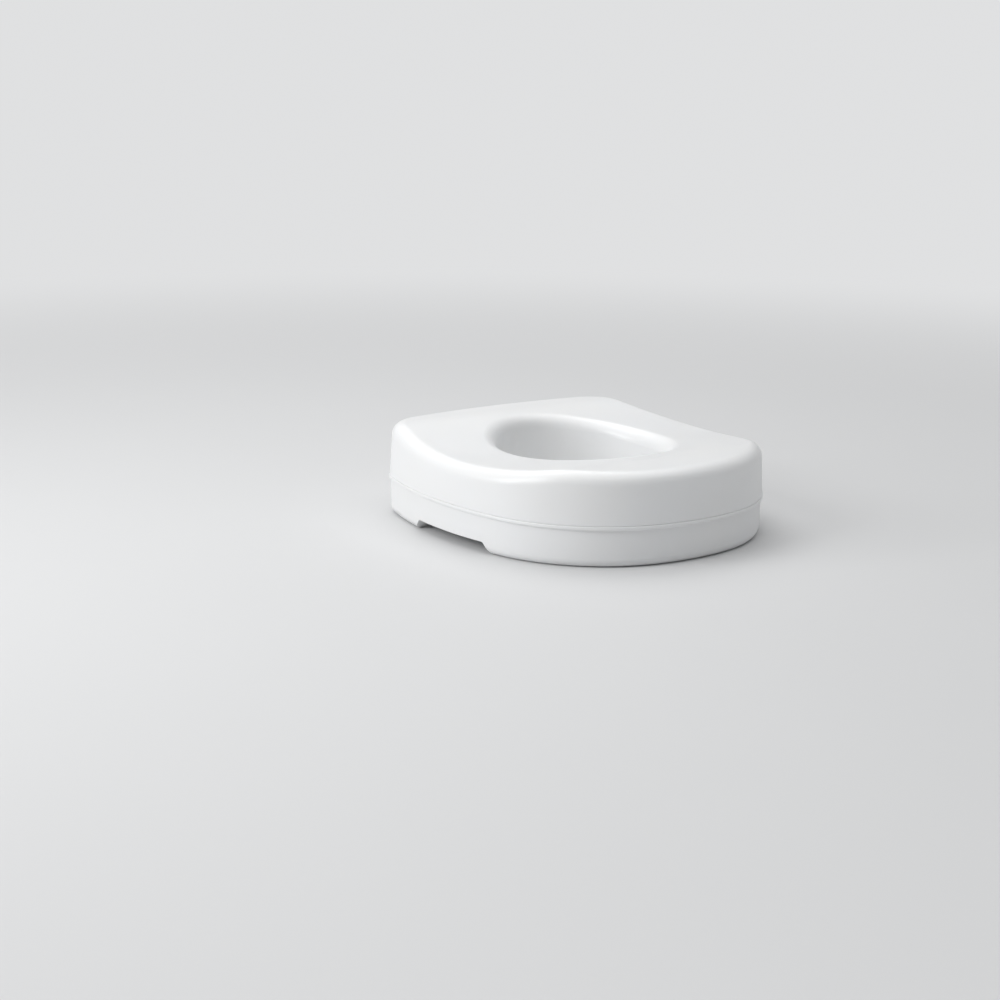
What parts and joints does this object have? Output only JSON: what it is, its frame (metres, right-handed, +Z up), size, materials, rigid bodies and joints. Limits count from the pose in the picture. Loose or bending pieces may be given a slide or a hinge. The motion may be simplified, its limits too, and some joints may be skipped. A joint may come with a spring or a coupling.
{
  "type": "raised toilet seat",
  "caption": "Raised toilet seat of two white moulded shells with an oval opening, a dished seat surface, hand notches in the skirt and rubber pads under the ledge.",
  "frame": {"origin": "middle of the seat's width and depth, on the plane of the skirt's lower edge", "axes": "+Z up, the front of the seat towards -Y, +X to the right seen from the front"},
  "size_m": [0.4216, 0.4414, 0.1197],
  "materials": {
    "shell_plastic": "white moulded plastic, satin to semi-gloss",
    "pad_rubber": "matt grey rubber",
    "seal_rubber": "soft light grey rubber",
    "screw_steel": "stainless steel"
  },
  "bodies": {
    "root": {"seat_shell": "shell_plastic", "base_shell": "shell_plastic", "collar_seal": "seal_rubber", "joint_screws": "screw_steel", "pad_front_left": "pad_rubber", "pad_front_right": "pad_rubber", "pad_rear_left": "pad_rubber", "pad_rear_right": "pad_rubber"}
  },
  "joints": []
}
